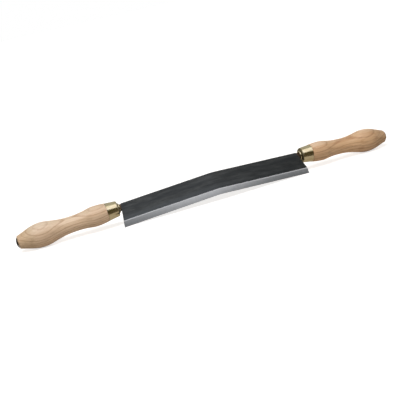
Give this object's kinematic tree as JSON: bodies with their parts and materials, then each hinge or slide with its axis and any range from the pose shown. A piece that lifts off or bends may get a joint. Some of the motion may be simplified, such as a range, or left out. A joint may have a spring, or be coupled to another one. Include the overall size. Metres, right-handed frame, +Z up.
{
  "type": "bent drawknife",
  "caption": "Two-handed woodworking drawknife: a flat bevelled steel blade bent at its middle, with turned wooden handles in brass ferrules in line with each half.",
  "frame": {"origin": "on the surface that the tool lies on, below the middle of its box", "axes": "+X along the tool to its right handle, +Z up, -Y to the side of the cutting edge. The tool lies bevel up, on the bulbs of its handles and the end corners of its cutting edge"},
  "size_m": [0.4626, 0.0436, 0.031],
  "materials": {
    "blade_steel": "blackened faces with a bright ground bevel",
    "brass": "turned and polished",
    "ash_wood": "turned, sanded and oiled",
    "washer_steel": "blackened"
  },
  "bodies": {
    "root": {"blade": "blade_steel", "ferrule_left": "brass", "ferrule_right": "brass", "handle_left": "ash_wood", "handle_right": "ash_wood", "butt_washer_left": "washer_steel", "butt_washer_right": "washer_steel"}
  },
  "joints": []
}
